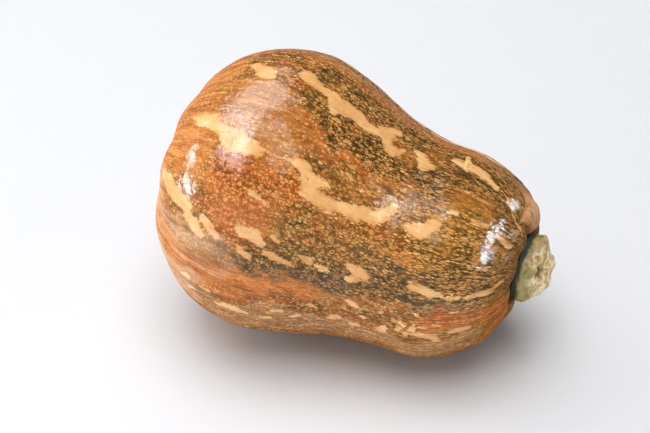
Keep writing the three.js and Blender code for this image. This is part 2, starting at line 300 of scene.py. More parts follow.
# What these tables name is made when it is first asked for. Other names are values that the mesh stores.
# Noise: the place it is laid on, how that is shrunk lengthwise, and its size, detail and roughness.
NOISES = {
    "streaks": ("place", 0.14, 3, 4, 0.68), "strokes": ("place", 0.16, 1.2, 2, 0.6),
    "lines": ("place", 0.09, 1.9, 3, 0.62), "mottle": ("place", 1, 3.2, 3, 0.6),
    "grain": ("growth", 1, 0.75, 2, 0.7), "clouds": ("growth", 1, 9, 3, 0.55),
    "hue": ("growth", 0.2, 3.4, 3, 0.6), "crowding": ("growth", 0.24, 4.6, 3, 0.6),
    "filled": ("filled_place", 1, 1.9, 3, 0.68), "pits": ("growth", 1, 0.9, 2, 0.6),
    "wide_edge": ("growth", 1, 4.6, 2, 0.5), "fine_edge": ("growth", 0.6, 2, 2, 0.6),
    "small_dents": ("growth", 1, 1.3, 2, 0.5), "large_dents": ("growth", 1, 3.4, 1, 0.5),
    "patchy": ("place", 1, 5.5, 3, 0.6), "moss": ("place", 0.6, 3.4, 3, 0.6),
    "fine": ("place", 1, 1.3, 3, 0.65), "lumps": ("lump_place", 1, 4.2, 2, 0.5),
    "crumbs": ("crumb_place", 1, 3.6, 2, 0.55),
}
# Sums and products of shares. A share is a name alone, or with a number it is times, or with "swing" and how
# far it swings about 0, or with a rise: from and to where, and from and to what if not from 0 to 1.
SUMS = {
    "uneven_green": (("mottle", "swing", 1.3), ("hue", "swing", -1.1)),
    "mottled_green": (("green",), ("uneven_green",)),
    "spot_reach": (("cell", 0.34), ("mottle", 0.3), ("greenness", 0, 1, 0.13, 0.17), ("rust", 0.07),
                   ("crowding", 0.4, 0.6, -0.08, 0.08)),
    "plainness": (("plain", 0.55), ("clouds", 0.45, 0.7, 0, 0.3)),
    "shading": (("streaks", 0.5), ("grain", 0.5)),
    "painted_light_mottle": (("mottle", 0.4), ("streaks", 0.6)),
    "blotch_edge": (("wide_edge", "swing", 4.6), ("fine_edge", "swing", 4.2)),
    "scar_edge": (("mottle", "swing", 1.6), ("grain", "swing", 4)),
    "uneven_scar": (("scar",), ("scar_edge",)),
    "near_blossom": (("along",), ("mottle", "swing", 7)),
    "pitted": (("pits", 0.5), ("spot", 0.22)),
    "dented": (("small_dents",), ("large_dents", 1.8)),
    "roughness": (("clouds", 0.3, 0.7, 0.4, 0.52), ("scarred", 0.3)),
    "lip": (("height",), ("patchy", "swing", 3)),
    "front": (("sideways", -1), ("patchy", "swing", 14)),
    "upper": (("upwards",), ("moss", "swing", 14)),
    "crumbled": (("crumbs", 0.5), ("lumps", 0.5)),
}
PRODUCTS = {
    "greenness": (("mottled_green", 0, 1),),
    "faint": (("plainness",), ("not_green",)),
    # The painted shade in the groove, broken up by the mottle and the spots.
    "slaty": (("slate",), ("mottle", 0.3, 0.6, 0.3, 1), ("spot", 0, 0.8, 1, 0.45)),
    # Painted shade towards the stem's seat, weaker where the skin is rusty.
    "near_stem": (("along", 238, 254, 0, 0.45), ("rust", 0, 1, 1, 0.3)),
    "beside_blotch": (("depth", -2.4, -0.3), ("green", 0.1, 0.6, 0, 0.7), ("mottle", 0.36, 0.6, 0.1, 0.9)),
    "scarred": (("uneven_scar", -0.2, 0.4),),
    "wax": (("along", 232, 241, 0.13, 0.02), ("not_dull",)),
    "stem_roughness": (("fine", 0.3, 0.7, 0.62, 0.82),),
}
# Colours by a value: its name, and the colour at each place from 0 to 1.
RAMPS = {
    "spot_tones": ("tint", (0, "spot_deep"), (0.55, "spot_orange"), (1, "spot_light")),
    "ground_tones": ("streaks", (0.26, "ground_deep"), (0.5, "ground"), (0.74, "ground_light")),
    "shade": ("shading", (0.36, "shade_dark"), (0.62, "shade_light")),
    # Tones of the painted reflection and bounce light.
    "dappled": ("painted_light_mottle", (0.38, "pale_deep"), (0.58, "pale_light")),
    "side_tones": ("moss", (0.36, "stem_deep"), (0.47, "stem_green"), (0.56, "stem_straw"),
                   (0.66, "stem_brown")),
    "cut_tones": ("crumbled", (0.38, "cut_dull"), (0.49, "cut"), (0.6, "cut_light")),
}
# Mixed colours: the lowest one, and the coats over it, each a colour and its share.
MIXES = {
    "dark_net": ("net_olive", ("net_green", "greenness", 0.3, 1), ("spot_dull", "filled", 0.54, 0.7, 0, 0.6)),
    "pale_spots": ("spot_dull", ("spot_tan", "tint"), ("spot_gold", "gold", 0.5),
                   ("spot_rust", "other_tint", 0.5, 1, 0, 0.75)),
    "spots": ("spot_tones", ("spot_rust", "rust", 0.8), ("spot_gold", "gold", 0.6),
              ("spot_rust", "hue", 0.53, 0.63, 0, 0.6), ("pale_spots", "greenness", 0.9)),
    "plain_ground": ("ground_tones", ("ground_rust", "rust", 0.6), ("ground_gold", "gold", 0.6)),
    "stroke": ("stroke_dark", ("net_green", "greenness")),
    "netted": ("net_brown", ("net_rust", "rust"), ("net_gold", "gold"),
               ("net_rust", "hue", 0.53, 0.63, 0, 0.75), ("net_olive", "hue", 0.46, 0.34, 0, 0.6),
               ("spot_deep", "filled", 0.5, 0.68, 0, 0.55), ("dark_net", "greenness", 0, 0.7, 0.05, 1),
               # Painted shade in the groove is laid over the net here.
               ("spots", "spot"), ("fleck", "flecks", 0.8), ("plain_ground", "faint"), ("slate", "slaty"),
               ("stroke", "strokes", 0.46, 0.3, 0, 0.45), ("stroke", "lines", 0.46, 0.33, 0, 0.62),
               ("stroke_pale", "lines", 0.57, 0.72, 0, 0.55)),
    # Painted light and shade are laid on here: shade near the stem, and pale reflection and bounce light.
    "patched": ("shaded", ("stem_end", "near_stem"), ("dappled", "pale"), ("margin", "beside_blotch")),
    "blotch_tones": ("blotch_deep", ("blotch", "depth", 0, 1.8), ("blotch_light", "clouds", 0.42, 0.68),
                     # Blotches are lightened by the painted bounce light too.
                     ("blotch_deep", "mottle", 0.5, 0.7, 0, 0.6), ("blotch_pale", "pale", 1.1),
                     ("stroke_dark", "lines", 0.42, 0.3, 0, 0.22)),
    "scar_cork": ("cork", ("cork_dull", "grain", 0.56, 0.46)),
    "whole_skin": ("patched", ("tan", "depth", -0.7, 0.4), ("scar_cork", "scarred"),
                   ("wound", "wound", -0.1, 0.35), ("scar_ring", "near_blossom", 9.5, 12.5, 0.7, 0),
                   ("blossom_scar", "near_blossom", 6, 8.5, 0.9, 0)),
    "side": ("side_tones", ("stem_cork", "knob", -0.1, 0.7, 0, 0.5)),
    "cut_face": ("cut_tones", ("cut_green", "patchy", 0.5, 0.62, 0, 0.7),
                 ("cut_dull", "patchy", 0.45, 0.36, 0, 0.6), ("stem_brown", "fine", 0.6, 0.72, 0, 0.3),
                 ("cut_light", "share", 0.74, 0.92, 0, 0.25), ("stem_green", "front", 3, 12, 0, 0.75),
                 ("stem_brown", "upper", 6, 14, 0, 0.6), ("pith", "share", 0.12, 0.32, 0.9, 0)),
    # Low down the stem is near black, partly painted shade, up to its lip.
    "whole_stem": ("stem_foot", ("side", "lip", 2.8, 4.4), ("cut_face", "on_cut")),
}
TAN_SHOWS_SKIN = 0.1
SPOT_WIDENS, WIDENED = 0.5, 0.25  # how much further a blotch reaches over a spot, and everywhere
GREEN_KEEPS_NET = 0.9
# Places are nudged about by noise of this size, up to about this far.
FINE_NUDGE, WIDE_NUDGE, FILLED_NUDGE, FILLED_SHRINK = (1, 0.4), (6, 1.2), (2, 0.6), 0.3
LUMP_NUDGE, CRUMB_NUDGE = (4, 1.5), (5, 2.4)
# Distance between neighbouring spots, dots and flecks, how far each reaches, and how soft its edge is.
SPOT_SIZE, SPOT_EDGE = 1.42, (-0.18, 0.22)
NET_EDGE, NET_SWAY = (-0.06, 0.1), -0.12
DOT_SIZE, DOT_REACH, DOT_EDGE = 0.85, (0.2, 1, 0, 0.42), (-0.18, 0.24, 0, 0.65)
FLECK_SIZE, FLECK_REACH, FLECK_EDGE = 4.6, (0.55, 1, 0, 0.27), (-0.05, 0.05)
PIT_BUMP, DENT_BUMP, STEM_BUMP = (0.3, 0.0003), (0.3, 0.0004), (0.4, 0.0005)  # strength, distance
SKIN_GLOSS = {"specular_ior_level": 0, "coat_ior": 2.5, "coat_roughness": 0.08}
STEM_GLOSS = {"specular_ior_level": 0.15}
FLOOR_ROUGHNESS = 0.7

# ---- The view ----

CAMERA_AZIMUTH, CAMERA_ELEVATION, CAMERA_ROLL = 24.88, 36.10, math.radians(-2.76)
CAMERA_DISTANCE = 0.79055
CAMERA_TARGET = Vector((-0.01725, 0.00106, 0.05911))
CAMERA_LENS, SENSOR_WIDTH = 85, 36

# Soft lights: azimuth and elevation they shine from, distance, width and height, power and colour.
LIGHTS = {
    "window_left": (-104, 50, 3, (1.8, 1.8), 9, (1, 0.98, 0.95)),
    "ceiling": (30, 82, 2.8, (2.4, 2.4), 84, (1, 0.98, 0.96)),
    "low_left": (-95, 8, 2.4, (2, 0.8), 28, (0.95, 0.98, 1.05)),
    "low_front": (-20, 3, 1.6, (2, 0.16), 4.6, (0.95, 0.98, 1.05)),
}
DIFFUSE_ONLY = ("ceiling", "low_left", "low_front")  # these light the colours and leave no glint
# Bright panes that only show as reflections in the wax.
PANES = {
    "haze_wide": (-120, 62, 1.5, (1.6, 1.2), 54, (0.86, 0.95, 1)),
    "haze_core": (-63, 53, 1.5, (0.74, 0.54), 14.5, (0.95, 0.96, 1)),
    "haze_right": (-38, 52, 1.5, (0.5, 0.6), 9, (0.95, 0.96, 1)),
    "veil_above": (20, 75, 1.5, (0.7, 0.45), 6, (0.9, 0.95, 1)),
    "pane_above": (36, 58, 1.4, (0.26, 0.22), 4.4, (1, 0.96, 0.88)),
    "pane_right": (83, 21, 1.5, (0.16, 0.36), 21, (0.82, 0.93, 1)),
    "pane_behind": (109, 21, 1.5, (0.18, 0.38), 26, (0.82, 0.93, 1)),
    "pane_left": (-68, 5, 1.2, (0.34, 0.2), 12, (0.92, 0.97, 1)),
    "pane_far_left": (-84, 18, 1.4, (0.3, 0.07), 6.5, (0.92, 0.97, 1)),
}
SKY_COLOUR = (0.95, 0.97, 1, 1)
SKY_BY_HEIGHT = (0, 0.85, 1, 0.16)  # from and to this height, and the brightness at either
SKY_BY_SIDE = (-1, 1, 0.2, 1.25)  # from the dim side to the bright side, and the brightness at either
SKY_BRIGHT_SIDE = (-0.8, -0.6, 0)  # the side the room is brighter on
FLOOR_HALF = 6.0
FLOOR_COLOUR, FLOOR_DIMMER, FLOOR_CLOUDS = (0.65, 0.655, 0.68), 0.985, 0.35


# ---- Small helpers ----

def ease(value, low, high):
    """0 below low and 1 above high, with a smooth rise between."""
    share = np.clip((value - low) / (high - low), 0, 1)
    return share * share * (3 - 2 * share)


def angle_between(a, b):
    return np.abs((a - b + 180) % 360 - 180)


def bell(value, width):
    return np.exp(-(value / width) ** 2)


def linear(level):
    """The light of a screen's level of 0 to 255."""
    share = level / 255
    return share / 12.92 if share <= 0.04045 else ((share + 0.055) / 1.055) ** 2.4


def ripples(points, size, offset, octaves=2):
    """Smooth noise of about -1 to 1 at each point, with waves of this size, from this place in the noise."""
    shift = Vector([offset * part for part in NOISE_WAY])
    flat = points.reshape(-1, 3) / size
    values = [noise.fractal(Vector(point) + shift, NOISE_FALL, NOISE_STEP, octaves) for point in flat]
    return np.array(values).reshape(points.shape[:-1])


def closed_faces(row_count, column_count):
    """Faces over rows of points, from one point before the first row to one point after the last row."""
    column = np.arange(column_count)
    following = (column + 1) % column_count
    faces = [(0, 1 + b, 1 + a) for a, b in zip(column, following)]
    for row in range(row_count - 1):
        near, far = 1 + row * column_count, 1 + (row + 1) * column_count
        faces += zip(near + column, near + following, far + following, far + column)
    rim = 1 + (row_count - 1) * column_count
    last = rim + column_count
    faces += [(rim + a, rim + b, last) for a, b in zip(column, following)]
    return [[int(i) for i in face] for face in faces]


def put_in_scene(name, data):
    thing = bpy.data.objects.new(name, data)
    bpy.context.scene.collection.objects.link(thing)
    return thing


def make_object(name, first, rows, last, values):
    """A closed smooth object over rows of points, from a first to a last point, with a value for each.

    The first and the last point get the mean of the row beside them.
    """
    row_count, column_count = rows.shape[:2]
    points = np.vstack([first, rows.reshape(-1, 3), last]) * MM
    mesh = bpy.data.meshes.new(name)
    mesh.from_pydata(points.tolist(), [], closed_faces(row_count, column_count))
    for key, value in values.items():
        flat = value.reshape(row_count * column_count, -1)
        whole = np.vstack([flat[:column_count].mean(0), flat, flat[-column_count:].mean(0)])
        kind, field = ("FLOAT_VECTOR", "vector") if value.ndim == 3 else ("FLOAT", "value")
        stored = mesh.attributes.new(key, kind, "POINT")
        stored.data.foreach_set(field, whole.astype(np.float32).ravel())
    mesh.shade_smooth()
    return put_in_scene(name, mesh)


# ---- The fruit's skin ----

def span_point(p, share):
    """A point of a centripetal Catmull-Rom curve between p[1] and p[2]."""
    gap = [math.sqrt(np.linalg.norm(p[k + 1] - p[k])) for k in range(3)]
    leave = ((p[1] - p[0]) / gap[0] - (p[2] - p[0]) / (gap[0] + gap[1])) * gap[1] + p[2] - p[1]
    arrive = ((p[3] - p[2]) / gap[2] - (p[3] - p[1]) / (gap[1] + gap[2])) * gap[1] + p[2] - p[1]
    across = p[2] - p[1]
    return (p[1] + leave * share + (3 * across - 2 * leave - arrive) * share ** 2
            + (leave + arrive - 2 * across) * share ** 3)


def smoothed(lines):
    """The same evenly spaced lines with their waves shorter than OUTLINE_EASE smoothed out."""
    reach = int(OUTLINE_REACH * OUTLINE_EASE / OUTLINE_STEP)
    weights = np.exp(-0.5 * (np.arange(-reach, reach + 1) * OUTLINE_STEP / OUTLINE_EASE) ** 2)
    weights /= weights.sum()
    return np.stack([np.convolve(np.pad(line, reach, "edge"), weights, "valid") for line in lines])


def outline():
    """Closely spaced places on the outline: distance over the skin, distance along the axis, radius."""
    knots = np.vstack([2 * FRUIT_OUTLINE[0] - FRUIT_OUTLINE[1], FRUIT_OUTLINE,
                       2 * FRUIT_OUTLINE[-1] - FRUIT_OUTLINE[-2]])
    spans = range(len(FRUIT_OUTLINE) - 1)
    shares = np.arange(0, 1, SPAN_STEP)
    curve = np.array([span_point(knots[k:k + 4], share) for k in spans for share in shares]
                     + [FRUIT_OUTLINE[-1]])
    length = np.r_[0, np.cumsum(np.hypot(*np.diff(curve, axis=0).T))]
    over = np.linspace(0, length[-1], int(length[-1] / OUTLINE_STEP))
    even = np.stack([np.interp(over, length, line) for line in curve.T])
    share = ease(over, *EASED_FROM) * (1 - ease(over, *EASED_TO))
    return over, *(even + (smoothed(even) - even) * share)


def stray(waves, axis):
    share = np.clip(axis / FRUIT_LENGTH, 0, 1)
    return sum(size * np.sin((k + 1) * np.pi * share) for k, size in enumerate(waves))


def groove_share(around):
    """1 at the bottom of a groove and 0 on the crown of a rib."""
    wander = GROOVE_WANDER * np.sin(np.radians(2 * around + GROOVE_WANDER_FROM))
    turn = np.sin(np.radians((around - GROOVE_AROUND + wander) * RIB_COUNT / 2))
    return 1 - np.sqrt((turn ** 2 + GROOVE_SHARPNESS ** 2) / (1 + GROOVE_SHARPNESS ** 2))


def form_relief(skin):
    """Height of the ribs, swellings and blossom scar over the plain outline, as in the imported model."""
    axis, radius, around = skin["axis"], skin["radius"], skin["around"]
    swell = sum(height * np.cos(np.radians(lobes * (around - towards)))
                * np.sin(half_waves * np.pi * axis / FRUIT_LENGTH)
                for height, lobes, towards, half_waves in SWELLINGS) * ease(radius, *SWELLING_FADE)
    fold = FOLD_DEPTH * bell(angle_between(around, FOLD_AROUND), FOLD_WIDTH)
    depth = (GROOVE_BODY + ease(axis, *GROOVE_STEM_RISE) * (GROOVE_STEM - GROOVE_BODY + fold)
             + (1 - ease(axis, *GROOVE_BLOSSOM_FADE)) * (GROOVE_BLOSSOM - GROOVE_BODY))
    fade = np.where(axis < SEAT_AXIS / 2, ease(radius, *GROOVE_FADE), 1)
    ring = SCAR_RING_DEPTH * bell(radius - SCAR_RING_RADIUS, SCAR_RING_WIDTH)
    return swell - fade * depth * groove_share(around) - np.where(axis < SCAR_RING_TO, ring, 0)


def fold_line(skin):
    """Depth of the crease that runs across the end of the neck, where one rib is tucked behind the next."""
    around = (skin["around"] + 180) % 360 - 180
    low, high = FOLD_LINE_AROUND
    off = skin["along"] - np.interp(around, FOLD_LINE_AROUND, FOLD_LINE_ALONG)
    ends = ease(around, low - FOLD_LINE_END, low) * (1 - ease(around, high, high + FOLD_LINE_END))
    return FOLD_LINE_DEPTH * ends * bell(off, FOLD_LINE_WIDTH)


def fine_relief(skin):
    """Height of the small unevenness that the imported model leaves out."""
    along, radius, wrap = skin["along"], skin["radius"], skin["wrap"]
    lumps = LUMP_HEIGHT * ripples(wrap, *LUMP_WAVES) * ease(radius, *LUMP_FADE)
    dimples = DIMPLE_HEIGHT * ripples(wrap, *DIMPLE_WAVES)
    lengthwise = wrap * (CREASE_WAVES[0] / CREASE_LENGTH, 1, 1)
    ends = ease(along, *CREASES_STEM) + BLOSSOM_SHARE * (1 - ease(along, *CREASES_BLOSSOM))
    creases = CREASE_HEIGHT * ripples(lengthwise, *CREASE_WAVES) * ends
    fade = ease(radius, *RELIEF_FADE) * (1 - ease(along, *RELIEF_END))
    scars = SCAR_HEIGHT * ease(skin["scar"], *SCAR_EDGE)
    return (lumps + dimples + creases) * fade + scars - fold_line(skin)


def tilted(axis, front, up):
    """A point given along, in front of and above the fruit's axis, once the fruit lies on its side."""
    cosine, sine = math.cos(REST_TILT), math.sin(REST_TILT)
    return np.stack([axis * cosine + up * sine, -front, up * cosine - axis * sine], -1)


def lay_down(axis, radius, around):
    """Where a point of the fruit is once the fruit lies on its side."""
    turn = np.radians(around)
    ending = ease(axis, STEM_END_FROM, SEAT_AXIS)
    front = radius * np.sin(turn) + stray(STRAY_FRONT, axis) + ending * STEM_END_FRONT
    up = radius * np.cos(turn) + stray(STRAY_UP, axis) + ending * STEM_END_UP
    return tilted(axis, front, up)


def raised(skin, height):
    """Where the skin is with this height over the plain outline, once the fruit lies on its side."""
    return lay_down(skin["axis"] - skin["radius_slope"] * height,
                    skin["radius"] + skin["axis_slope"] * height, skin["around"])


def dabs_height(skin, runs):
    """How far inside its nearest run of dabs each place is, in millimetres, and less than 0 outside."""
    degree = np.radians(1) * np.maximum(skin["radius"], DAB_RADIUS_LEAST)
    height = np.full(skin["along"].shape, OUTSIDE)
    for run in runs:
        for start, end in zip(run, run[1:] or run):
            run_along, run_around = end[0] - start[0], end[1] - start[1]
            off_along = skin["along"] - start[0]
            off_around = (skin["around"] - start[1] + 180) % 360 - 180
            squared = max(run_along ** 2 + run_around ** 2, TINY)  # a degree counts as a mm
            share = np.clip((off_along * run_along + off_around * run_around) / squared, 0, 1)
            miss = np.hypot(off_along - share * run_along, (off_around - share * run_around) * degree)
            height = np.maximum(height, start[2] + share * (end[2] - start[2]) - miss)
    return height


def hidden_blotch(draw, row, place):
    """One blotch of a row that faces away, as a run of dabs, and how long it is."""
    length = draw.uniform(*BLOTCH_LENGTHS) * (LONGER if place > LONG_FROM else 1)
    stout = draw.uniform(*BLOTCH_RADII) * (SLIMMER if place > SLIM_FROM else 1)
    lean = draw.uniform(-BLOTCH_LEAN, BLOTCH_LEAN)
    middle = row + draw.uniform(-BLOTCH_STRAY, BLOTCH_STRAY)
    count = max(2, round(length / DAB_SPACING))
    run = []
    for k in range(count):
        share = k / (count - 1)
        bulge = math.sin(math.pi * min(share + DAB_EARLY, 1))
        radius = stout * (DAB_LEAST + DAB_SWELL * bulge * draw.uniform(*DAB_CHANCE))
        around = middle + lean * share + draw.uniform(-DAB_STRAY, DAB_STRAY)
        run.append((place + share * length, around, radius))
    return run, length


def hidden_blotches():
    """Blotches for the rows that face away, by a seeded rule."""
    draw = random.Random(SEED)
    runs = []
    for row in HIDDEN_ROWS:
        place = HIDDEN_FROM + draw.uniform(0, BLOTCH_GAPS[1])
        while place < HIDDEN_TO:
            run, length = hidden_blotch(draw, row, place)
            runs.append(run)
            place += length + draw.uniform(*BLOTCH_GAPS)
    return tuple(runs)


def patches(skin, boxes):
    """How much of a colouring each place has, from its patches."""
    amount = np.zeros(skin["along"].shape)
    along = skin["along"] + PATCH_WANDER * skin["drift"]
    around = skin["around"] + PATCH_WANDER * skin["sway"]
    for low, high, first, last, strength in boxes:
        lengthwise = ease(along, low - PATCH_EDGE, low + PATCH_EDGE)
        lengthwise *= 1 - ease(along, high - PATCH_EDGE, high + PATCH_EDGE)
        off = angle_between(around, (first + last) / 2)
        half = (last - first) / 2
        crosswise = 1 - ease(off, half - PATCH_EDGE_AROUND, half + PATCH_EDGE_AROUND)
        amount = np.maximum(amount, strength * lengthwise * crosswise)
    return amount


def green_amount(skin):
    """How dark green the net between the spots is: most beside the rows of blotches."""
    around = skin["around"] + GREEN_SWAY * skin["sway"]
    rows = sum(bell(angle_between(around, row), GREEN_REACH) for row in BLOTCH_ROWS)
    hidden = ease(angle_between(skin["around"], SEEN_MIDDLE), *SEEN_EDGE)
    band = rows * (SEEN_GREEN + (1 - SEEN_GREEN) * hidden)
    band = band * ease(skin["along"] + GREEN_WANDER * skin["drift"], *GREEN_FROM)
    band *= GREEN_LEAST + GREEN_DRIFT * skin["drift"]
    return np.clip(np.maximum(band, skin["green"]) - skin["bare_of_green"], 0, 1)


def skin_places():
    """Each place of the fine skin, row by row, before it has its relief."""
    over, axis_line, radius_line = outline()
    steps = np.arange(1, ROW_COUNT + 1) / ROW_COUNT
    along = over[-1] * (steps - ROW_CROWDING * np.sin(2 * np.pi * steps) / (2 * np.pi))
    lines = {"axis": axis_line, "radius": radius_line, "axis_slope": np.gradient(axis_line, over),
             "radius_slope": np.gradient(radius_line, over)}
    skin = {key: np.repeat(np.interp(along, over, line)[:, None], COLUMN_COUNT, 1)
            for key, line in lines.items()}
    around = np.arange(COLUMN_COUNT) * 360 / COLUMN_COUNT
    skin["along"], skin["around"] = np.meshgrid(along, around, indexing="ij")
    turn = np.radians(skin["around"])
    circle = [WRAP_RADIUS * np.cos(turn), WRAP_RADIUS * np.sin(turn)]
    skin["wrap"] = np.stack([skin["along"]] + circle, -1)
    grown = np.cumsum(np.diff(over, prepend=0) / np.interp(over, *zip(*STRETCH)))
    finer = 1 + (FINE_RADIUS / WRAP_RADIUS - 1) * ease(skin["along"], FINE_FROM, FINE_TO)
    skin["growth"] = np.stack([np.interp(skin["along"], over, grown)] + [finer * part for part in circle], -1)
    skin["drift"] = ripples(skin["wrap"], *DRIFT_WAVES)
    skin["sway"] = ripples(skin["wrap"], *SWAY_WAVES)
    return skin


def add_markings(skin):
    """Where the skin has its blotches, scars, coloured patches and patches of painted light and shade."""
    skin["scar"] = dabs_height(skin, SCARS)
    skin["wound"] = dabs_height(skin, ((WOUND,),))
    skin["blotch"] = dabs_height(skin, BLOTCHES + hidden_blotches())
    for colouring, boxes in PATCHES.items():
        skin[colouring] = patches(skin, boxes)
    skin["green"] = green_amount(skin)


def fruit_shift(form):
    """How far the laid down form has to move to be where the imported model's frame has it."""
    low, high = (np.array(corner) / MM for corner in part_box("fruit"))
    flat = form.reshape(-1, 3)
    shift = (low + high - flat.min(0) - flat.max(0)) / 2
    shift[2] = -flat[:, 2].min() - FLAT_SPOT_DEPTH
    return shift


def make_fruit():
    """The whole fruit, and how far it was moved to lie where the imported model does."""
    skin = skin_places()
    add_markings(skin)
    form = form_relief(skin)
    shift = fruit_shift(raised(skin, form))
    rows = raised(skin, form + fine_relief(skin)) + shift
    rows[..., 2] = np.maximum(rows[..., 2], 0)
    first, last = lay_down(np.array([0.0, SEAT_AXIS]), np.zeros(2), np.zeros(2)) + shift
    values = {key: skin[key] for key in SKIN_VALUES}
    return make_object("fruit_skin", first, rows, last, values), shift


# ---- The stem ----

def ridge_nearness(around):
    return [bell(angle_between(around, at), STEM_RIDGE_WIDTH) for at, _ in STEM_RIDGES]


def stem_radius(around, height):
    """Outline of the stem's section: round at the foot, five-ridged from a little above it."""
    ridged = STEM_VALLEY_RADIUS + sum((reach - STEM_VALLEY_RADIUS) * near
                                      for (_, reach), near in zip(STEM_RIDGES, ridge_nearness(around)))
    foot = STEM_FOOT_RADIUS + STEM_FOOT_LIP * np.sin(np.pi * np.clip(height / STEM_FOOT_HEIGHT, 0, 1))
    return foot + (ridged - foot) * ease(height, *STEM_RIDGE_RISE)


def cut_height(around, share):
    """Height of the cut above the foot, at a share of the way out from its middle."""
    radius = share * stem_radius(around, STEM_HEIGHT)
    plane = STEM_HEIGHT - CUT_SLOPE * radius * np.cos(np.radians(around - CUT_LOW_AROUND))
    pit = PIT_DEPTH * bell(radius, PIT_RADIUS)
    ridge = CUT_RIDGE * np.max(ridge_nearness(around), 0) * np.sin(np.pi * share)
    return plane + CUT_DOME * (1 - share ** 2) - pit + ridge


def stem_rows():
    """The stem's rows, up its side and in over its cut: around, height, radius, and shares of its parts."""
    around = np.arange(STEM_COLUMNS)[None, :] * 360 / STEM_COLUMNS
    climb = np.linspace(0, 1, STEM_SIDE_ROWS)[:, None]
    side_height = -STEM_SINK + climb * (cut_height(around, 1.0) - RIM_ROUND + STEM_SINK)
    share = np.linspace(1, 0, STEM_CUT_ROWS + 1)[:-1, None] * np.ones_like(around)
    rounding = RIM_ROUND * ease(share, RIM_FROM, 1.0) ** 2
    return {
        "around": np.repeat(around, STEM_SIDE_ROWS + STEM_CUT_ROWS, 0),
        "height": np.vstack([side_height, cut_height(around, share) - rounding * RIM_DROP]),
        "radius": np.vstack([stem_radius(around, np.maximum(side_height, 0)),
                             share * stem_radius(around, STEM_HEIGHT)]),
        "share": np.vstack([np.ones_like(side_height), share]),
        "on_cut": np.vstack([np.zeros_like(side_height), 1 - ease(share, GRAIN_EDGE, 1.0)]),
    }


def make_stem(shift):
    """The stub of the stem, standing in the fruit's seat. Its points are given as height, back and up."""
    stem = stem_rows()
    height, radius, on_cut = stem["height"], stem["radius"], stem["on_cut"]
    cosine, sine = np.cos(np.radians(stem["around"])), np.sin(np.radians(stem["around"]))
    local = np.stack([height, -radius * sine, radius * cosine], -1)
    stem["knob"] = ripples(local, *KNOB_WAVES) * ease(height, *KNOB_RISE)
    crumbs = GRAIN_HEIGHT * ripples(local, *GRAIN_WAVES) * on_cut
    away = np.stack([KNOB_LEAN * np.ones_like(height), -sine, cosine], -1)
    outward = (1 - on_cut)[..., None] * away + on_cut[..., None] * np.array([1.0, 0, 0])
    local = local + outward * (KNOB_HEIGHT * stem["knob"] + crumbs)[..., None]

    seat = lay_down(np.array(float(SEAT_AXIS)), np.array(0.0), np.array(0.0)) + shift
    seat = seat + STEM_GAP * tilted(1.0, 0.0, 0.0)
    rows = seat + tilted(local[..., 0], -local[..., 1], local[..., 2])
    first = seat + tilted(-STEM_SINK, 0.0, 0.0)
    last = seat + tilted(local[-1, :, 0].mean(), 0.0, 0.0)
    stem["place"] = local
    stem["spokes"] = np.stack([radius * SPOKE_SHRINK, SPOKE_RADIUS * cosine, SPOKE_RADIUS * sine], -1)
    return make_object("stem_stub", first, rows, last, {key: stem[key] for key in STEM_VALUES})


# ---- Materials ----

class Value:
    """A node's output. Adding, subtracting or multiplying it makes a node that does so."""

    def __init__(self, nodes, socket):
        self.nodes, self.socket = nodes, socket

    def __add__(self, other):
        return self.nodes.maths("ADD", self, other)

    def __sub__(self, other):
        return self.nodes.maths("SUBTRACT", self, other)

    def __rsub__(self, other):
        return self.nodes.maths("SUBTRACT", other, self)

    def __mul__(self, other):
        return self.nodes.maths("MULTIPLY", self, other)

    def rise(self, low, high, start=0.0, end=1.0):
        """start below low and end above high, with a smooth rise between."""
        return self.nodes.make("MapRange", self, low, high, start, end, interpolation_type="SMOOTHSTEP")


